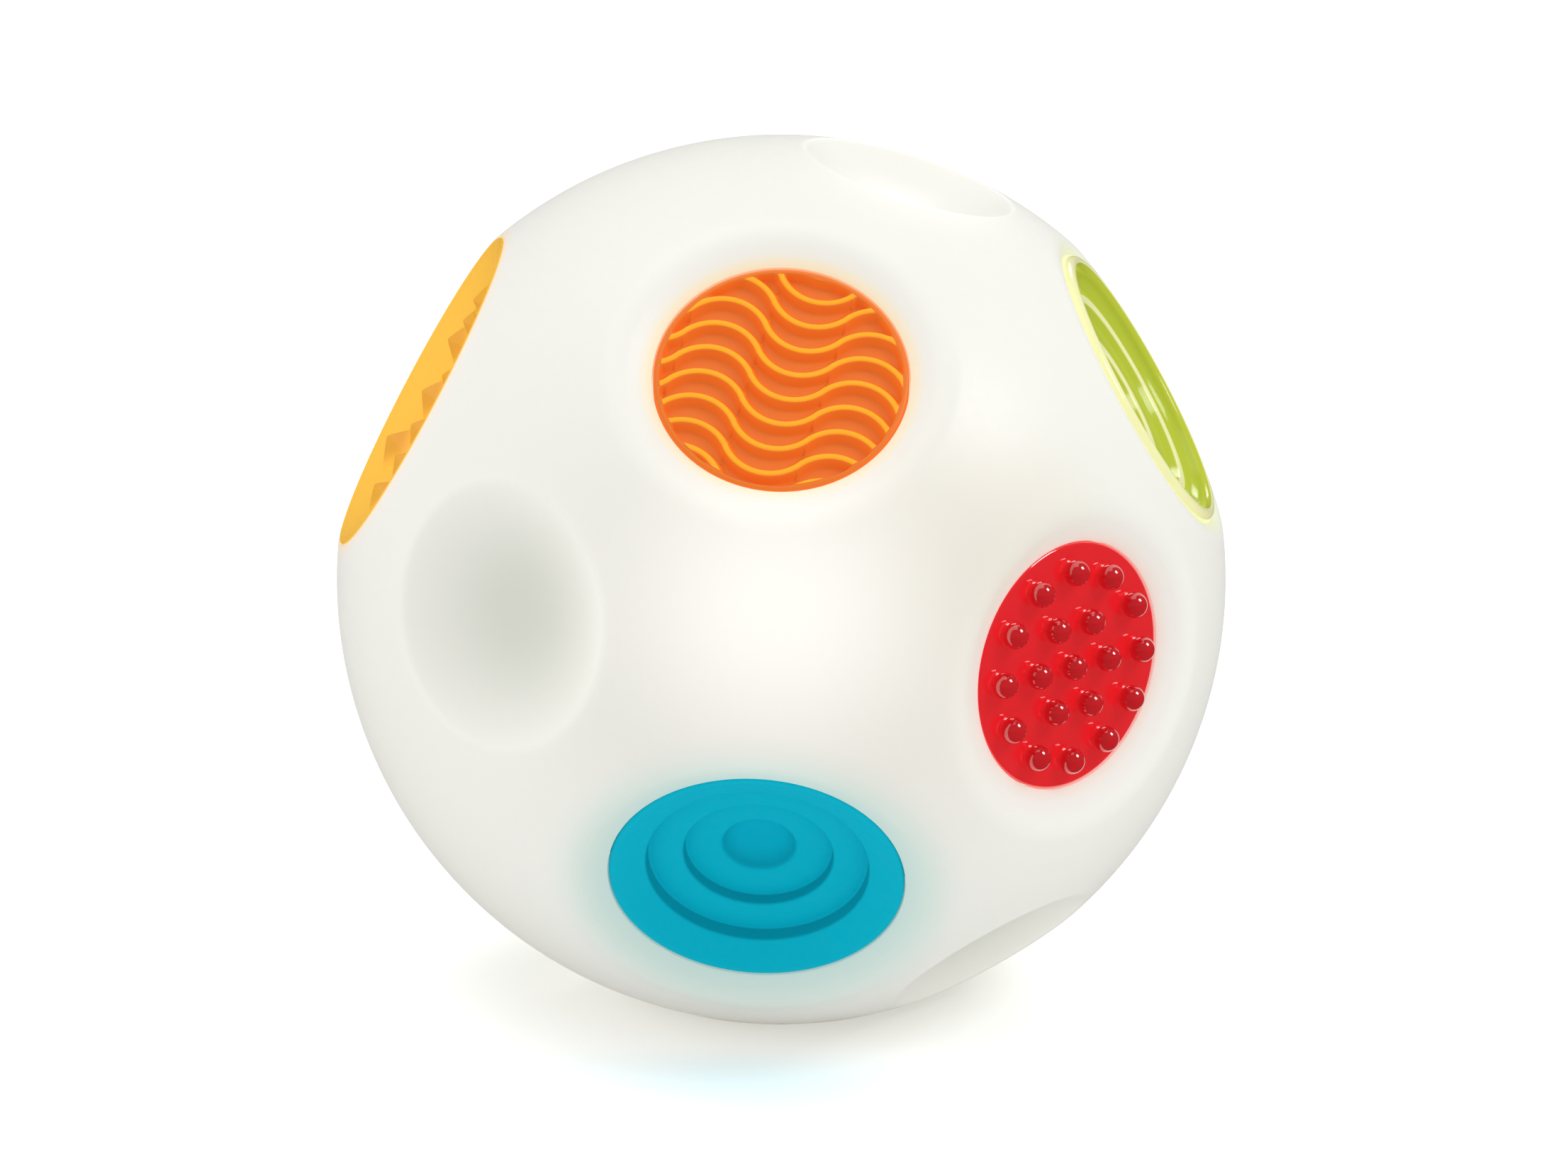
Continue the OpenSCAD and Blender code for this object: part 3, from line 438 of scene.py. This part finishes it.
INSERTS = [
    (make_orange, "orange_wave_disc", "orange"),
    (make_red, "red_bump_disc", "red"),
    (make_blue, "blue_step_bowl", "blue"),
    (make_green, "green_ring_dish", "green"),
    (make_yellow, "yellow_pyramid_dish", "yellow"),
]


# Materials

def linear(hex_colour):
    """Linear colour of a hex sRGB colour."""
    parts = [int(hex_colour[i : i + 2], 16) / 255 for i in (1, 3, 5)]
    return tuple(c / 12.92 if c <= 0.04045 else ((c + 0.055) / 1.055) ** 2.4 for c in parts) + (1.0,)


class Nodes:
    """Short ways to add and join the nodes of one material."""

    def __init__(self, name):
        self.material = bpy.data.materials.new(name)
        self.material.use_nodes = True
        self.tree = self.material.node_tree
        self.tree.nodes.clear()

    def add(self, kind, sockets=None, **settings):
        node = self.tree.nodes.new(kind)
        for key, value in settings.items():
            setattr(node, key, value)
        for key, value in (sockets or {}).items():
            if isinstance(value, bpy.types.NodeSocket):
                self.tree.links.new(value, node.inputs[key])
            else:
                node.inputs[key].default_value = value
        return node

    def mix(self, factor, a, b):
        """Colour from a to b by factor."""
        node = self.add("ShaderNodeMix", data_type="RGBA")
        for socket, value in ((node.inputs[0], factor), (node.inputs[6], a), (node.inputs[7], b)):
            if isinstance(value, bpy.types.NodeSocket):
                self.tree.links.new(value, socket)
            else:
                socket.default_value = value
        return node.outputs[2]

    def fade(self, value, low, high, to_low=0.0, to_high=1.0):
        """Smooth step of value from low to high."""
        node = self.add(
            "ShaderNodeMapRange",
            {0: value, 1: low, 2: high, 3: to_low, 4: to_high},
            interpolation_type="SMOOTHSTEP",
        )
        return node.outputs[0]

    def where(self):
        return self.add("ShaderNodeTexCoord").outputs["Object"]

    def noise(self, scale, detail=3.0):
        sockets = {"Vector": self.where(), "Scale": scale, "Detail": detail}
        return self.add("ShaderNodeTexNoise", sockets).outputs[0]

    def distance(self, point):
        """Distance in metres from a point."""
        node = self.add("ShaderNodeVectorMath", {0: self.where(), 1: tuple(point)}, operation="DISTANCE")
        return node.outputs["Value"]

    def finish(self, shader):
        out = self.add("ShaderNodeOutputMaterial")
        self.tree.links.new(shader.outputs[0], out.inputs[0])
        return self.material


CLOUD_SCALE, GRAIN_SCALE, GRAIN_DEPTH = 55.0, 900.0, 0.0002


def plastic(name, dark, light, rough, bump=0.02, rise=None, metal=0.0, lit=(0.0, 0.0), **sockets):
    """Moulded surface with a fine grain in its gloss and two colours: close ones in a soft cloud, or
    from one value of rise to another. lit is the light that comes through it, at each colour."""
    n = Nodes(name)
    if rise:
        share = n.fade(n.add("ShaderNodeAttribute", attribute_name="rise").outputs["Fac"], *rise)
    else:
        share = n.fade(n.noise(CLOUD_SCALE), 0.35, 0.65)
    fine = n.noise(GRAIN_SCALE, 2.0)
    colour = n.mix(share, linear(dark), linear(light))
    grain = n.add("ShaderNodeBump", {"Strength": bump, "Distance": GRAIN_DEPTH, "Height": fine})
    settings = {
        "Base Color": colour,
        "Roughness": n.fade(fine, 0.3, 0.7, rough * 0.85, rough * 1.15),
        "Normal": grain.outputs[0],
        "Metallic": metal,
    }
    if max(lit) > 0:
        settings["Emission Color"] = colour
        settings["Emission Strength"] = n.fade(share, 0.0, 1.0, *lit)
    settings.update(sockets)
    return n.finish(n.add("ShaderNodeBsdfPrincipled", settings))


TINT_SINK = 3.0


def near(n, at, radius, reach):
    """1 within radius of a place on the ball, fading to 0 at reach millimetres from there."""
    centre = place(at) @ Vector((0, 0, BALL_R - TINT_SINK)) * MM
    return n.fade(n.distance(centre), radius * MM, (radius + reach) * MM, 1.0, 0.0)


# Painted glow: the shell's emission is brighter round LAMP_AT, where the light inside shines through, and
# even elsewhere
LAMP_AT, LAMP_NEAR, LAMP_FAR = (10.5, -1), 0.002, 0.028
SHELL_LIT, LAMP_LIT = 0.28, 0.15
SHELL_CLOUD, SHELL_GRAIN = 18.0, 700.0
DIMPLE_PAINTED_SHADE, DIMPLE_SHADE_LAT = "#D4D5CA", 45


def shell_material():
    """Milky see-through plastic with a painted glow from inside, painted coloured light from each insert
    round it, and painted shade in the dimples that face sideways or down and at two places on the front.
    """
    n = Nodes("milky_shell")
    cloud = n.noise(SHELL_CLOUD, 2.0)
    colour = n.mix(n.fade(cloud, 0.3, 0.7), linear("#EDECE4"), linear("#EFEEE7"))
    painted_light_and_shade = []
    # Painted shade: the dimples that face sideways or down are painted greyer
    for at in DIMPLES_AT:
        size = at[2] * DIMPLE_R
        if at[0] < DIMPLE_SHADE_LAT:
            painted_light_and_shade.append((at, 0.2 * size, 0.85 * size, DIMPLE_PAINTED_SHADE))
    painted_light_and_shade += [
        # Painted warm shade at two places on the front of the shell
        ((8, 8), 12.0, 34.0, "#ECE8DF"),
        ((15, 31), 2.0, 20.0, "#E8E3D7"),
        # Painted coloured light from each insert on the shell round it
        (ORANGE_AT, 16.6, 2.2, "#F5E8C4"),
        (RED_AT, 16.6, 2.0, "#EFE6DA"),
        (BLUE_AT, 19.4, 9.0, "#D2E4DC"),
        (GREEN_AT, 20.2, 3.0, "#EEF0D2"),
        (YELLOW_AT, 23.2, 2.0, "#F5ECD2"),
    ]
    for at, radius, reach, tint in painted_light_and_shade:
        colour = n.mix(near(n, at, radius, reach), colour, linear(tint))
    lamp = place(LAMP_AT) @ Vector((0, 0, BALL_R)) * MM
    glow = n.fade(n.distance(lamp), LAMP_NEAR, LAMP_FAR, 1.0, 0.0)
    fine = n.noise(SHELL_GRAIN, 2.0)
    strength = n.add("ShaderNodeMath", {0: glow, 1: LAMP_LIT, 2: SHELL_LIT}, operation="MULTIPLY_ADD")
    shader = n.add(
        "ShaderNodeBsdfPrincipled",
        {
            "Base Color": colour,
            "Roughness": n.fade(fine, 0.3, 0.7, 0.36, 0.4),
            "IOR": 1.46,
            "Subsurface Weight": 0.5,
            "Subsurface Radius": (1.0, 0.9, 0.75),
            "Subsurface Scale": 0.003,
            "Emission Color": n.mix(glow, colour, (1, 1, 0.97, 1)),
            "Emission Strength": strength.outputs[0],
        },
    )
    return n.finish(shader)


SOFT = {"Subsurface Weight": 0.3, "Subsurface Scale": 0.002}
GLOSS = {"Coat Weight": 1.0, "Coat IOR": 2.0}
SATIN = {"Specular IOR Level": 0.3}
DULL = {"Specular IOR Level": 0.1}
LENS = {"Emission Color": linear("#FFF3D6"), "Emission Strength": 2.0}
MATERIALS = {
    # Painted highlight: the orange ridge tops are a paler yellow and glow more than the floor between them
    "orange": plastic("orange", "#F07C2A", "#FFA41E", 0.35, rise=(0.82, 1.0), lit=(0.2, 0.4), **SATIN),
    # Painted shade: the red bumps are a deeper red and glow less than the plate between them
    "red": plastic("red", "#EC1E26", "#D8121C", 0.12, rise=(0.0, 0.5), lit=(0.28, 0.12), **GLOSS),
    # Painted shade: the blue bowl's risers are a darker blue than its treads
    "blue": plastic(
        "blue", "#009CB0", "#00C4DE", 0.7, bump=0.05, rise=(0.3, 0.85), lit=(0.18, 0.08), **DULL
    ),
    # Painted light: the green dish's crests and rim are a pale colour and glow a little more than the rest
    "green": plastic("green", "#C0CC40", "#F2F2B8", 0.15, rise=(0.7, 1.0), lit=(0.18, 0.22), **SOFT),
    # Painted shade: toward their tips the yellow pyramids are a deeper yellow and glow less than the dish
    # floor
    "yellow": plastic("yellow", "#FFC446", "#F5B53A", 0.3, rise=(0.0, 0.6), lit=(0.27, 0.14)),
    "milky_shell": shell_material(),
    "white_plastic": plastic("white_plastic", "#EBE9E2", "#F0EEE8", 0.38, bump=0.05, lit=(0.2, 0.2)),
    "seal_rubber": plastic("seal_rubber", "#85898C", "#8F9498", 0.7, bump=0.08),
    "screw_steel": plastic("screw_steel", "#B9BDC1", "#CFD2D5", 0.3, metal=1.0),
    "cell_jacket": plastic("cell_jacket", "#3D4249", "#4A4F57", 0.35, metal=0.3),
    "contact_brass": plastic("contact_brass", "#C9A552", "#DDBD6A", 0.28, metal=1.0),
    "spring_steel": plastic("spring_steel", "#AEB3B8", "#C4C8CC", 0.3, metal=1.0),
    "board_green": plastic("board_green", "#1F6A40", "#2B7D50", 0.4, bump=0.1),
    "chip_black": plastic("chip_black", "#1E2022", "#2B2D30", 0.5, bump=0.1),
    "led_lens": plastic("led_lens", "#FFF1CC", "#FFF8E4", 0.2, **LENS),
    "frosted_dome": plastic("frosted_dome", "#F4F2EA", "#FBFAF5", 0.6, **SOFT),
    "knob_grey": plastic("knob_grey", "#33363A", "#3E4146", 0.45, bump=0.1),
    "frame_grey": plastic("frame_grey", "#41464D", "#4E535B", 0.4, bump=0.05),
    "cone_paper": plastic("cone_paper", "#26292C", "#303338", 0.85, bump=0.2),
    "magnet_steel": plastic("magnet_steel", "#7F848A", "#989DA2", 0.35, metal=1.0),
    "lead_jacket": plastic("lead_jacket", "#B23030", "#C23C3C", 0.45),
}


def set_material(obj, slot):
    obj.data.materials.clear()
    obj.data.materials.append(MATERIALS[slot])


# Stage, in metres and watts

# Place, width, height and power of each light, and whether shiny surfaces mirror it
LIGHTS = {
    "right": ((0.75, -0.25, 0.75), 0.35, 0.35, 2.3, True),
    "left": ((-0.9, -0.05, 0.3), 0.6, 0.6, 1.5, False),
    "back": ((0.25, 0.8, 0.6), 0.2, 0.3, 0.6, True),
    "top": ((-0.15, 0.0, 1.1), 0.9, 0.9, 1.8, True),
}
FILL_LIGHT, MIRRORED_LIGHT = 0.56, 0.08
FLOOR_HALF = 6.0
# The floor's white as seen under the ball and away from it, and where it changes; the darker white under
# the ball is a painted shadow
SEEN_IN_PAINTED_SHADOW, SEEN_FAR, PAINTED_SHADOW_FROM, PAINTED_SHADOW_TO = 1.17, 1.75, 0.02, 0.075


def grey(value):
    return (value, value, value, 1)


def area_light(name, location, target, width, height, power, mirrored):
    light = bpy.data.lights.new(name, "AREA")
    light.shape, light.size, light.size_y = "RECTANGLE", width, height
    light.energy = power
    obj = bpy.data.objects.new(name, light)
    obj.visible_glossy = mirrored
    obj.location = location
    obj.rotation_euler = (Vector(target) - Vector(location)).to_track_quat("-Z", "Y").to_euler()
    bpy.context.scene.collection.objects.link(obj)


def make_floor():
    """Pale floor that looks white, with a painted shadow that darkens it round the ball's foot, and that
    shiny surfaces see as dark, so that their colours stay deep.
    """
    mesh = bpy.data.meshes.new("floor")
    s = FLOOR_HALF
    mesh.from_pydata([(-s, -s, 0), (s, -s, 0), (s, s, 0), (-s, s, 0)], [], [(0, 1, 2, 3)])
    floor = bpy.data.objects.new("floor", mesh)
    bpy.context.scene.collection.objects.link(floor)
    n = Nodes("floor")
    cloud = n.noise(3.0, 2.0)
    pale = n.mix(n.fade(cloud, 0.3, 0.7), grey(0.87), grey(0.88))
    # Painted shadow: the white that the camera sees is darker near the ball's foot
    white = n.mix(n.fade(n.distance((0, 0, 0)), PAINTED_SHADOW_FROM, PAINTED_SHADOW_TO), grey(SEEN_IN_PAINTED_SHADOW), grey(SEEN_FAR))
    shader = n.add("ShaderNodeBsdfDiffuse", {"Color": pale})
    rays = n.add("ShaderNodeLightPath").outputs
    for ray, colour in (("Is Glossy Ray", grey(0.06)), ("Is Camera Ray", white)):
        other = n.add("ShaderNodeBsdfDiffuse", {"Color": colour})
        shader = n.add("ShaderNodeMixShader", {0: rays[ray], 1: shader.outputs[0], 2: other.outputs[0]})
    floor.data.materials.append(n.finish(shader))


def make_world():
    """Even light from all round that the camera sees as white and shiny surfaces see as dark."""
    world = bpy.data.worlds.new("studio")
    bpy.context.scene.world = world
    world.use_nodes = True
    tree = world.node_tree
    tree.nodes.clear()
    path = tree.nodes.new("ShaderNodeLightPath")
    out = tree.nodes.new("ShaderNodeOutputWorld")
    shader = tree.nodes.new("ShaderNodeBackground")
    shader.inputs[0].default_value = (0.97, 0.985, 1.0, 1)
    shader.inputs[1].default_value = FILL_LIGHT
    for ray, strength in (("Is Glossy Ray", MIRRORED_LIGHT), ("Is Camera Ray", 1.0)):
        other = tree.nodes.new("ShaderNodeBackground")
        other.inputs[0].default_value = grey(1)
        other.inputs[1].default_value = strength
        mix = tree.nodes.new("ShaderNodeMixShader")
        tree.links.new(path.outputs[ray], mix.inputs[0])
        tree.links.new(shader.outputs[0], mix.inputs[1])
        tree.links.new(other.outputs[0], mix.inputs[2])
        shader = mix
    tree.links.new(shader.outputs[0], out.inputs[0])


def make_camera():
    """Camera that frames the ball as the photograph does."""
    data = bpy.data.cameras.new("camera")
    data.lens, data.sensor_width = 132.3, 36.0
    data.shift_x, data.shift_y = 0.00176, -0.00588
    data.clip_start, data.clip_end = 0.01, 20
    camera = bpy.data.objects.new("camera", data)
    up = math.radians(15)
    away = 13 * BALL_R * MM
    back = Vector((0, -math.cos(up), math.sin(up)))
    camera.location = Vector((0, 0, BASE_D * MM)) + back * away
    camera.rotation_euler = (-back).to_track_quat("-Z", "Y").to_euler()
    bpy.context.scene.collection.objects.link(camera)
    bpy.context.scene.camera = camera


def main():
    shell = make_shell()
    set_material(shell, "milky_shell")
    for make, node, slot in INSERTS:
        obj = make()
        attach(obj, "ball")
        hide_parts(node)
        set_material(obj, slot)
    slots = {s["node"]: s["material_slot"] for s in frame["record"]["subparts"]}
    for name, obj in frame["nodes"].items():
        set_material(obj, slots[name])
    make_floor()
    make_world()
    make_camera()
    for name, (location, width, height, power, mirrored) in LIGHTS.items():
        area_light(name, location, (0, 0, BASE_D * MM), width, height, power, mirrored)
    bpy.context.scene.view_settings.view_transform = "Standard"


main()
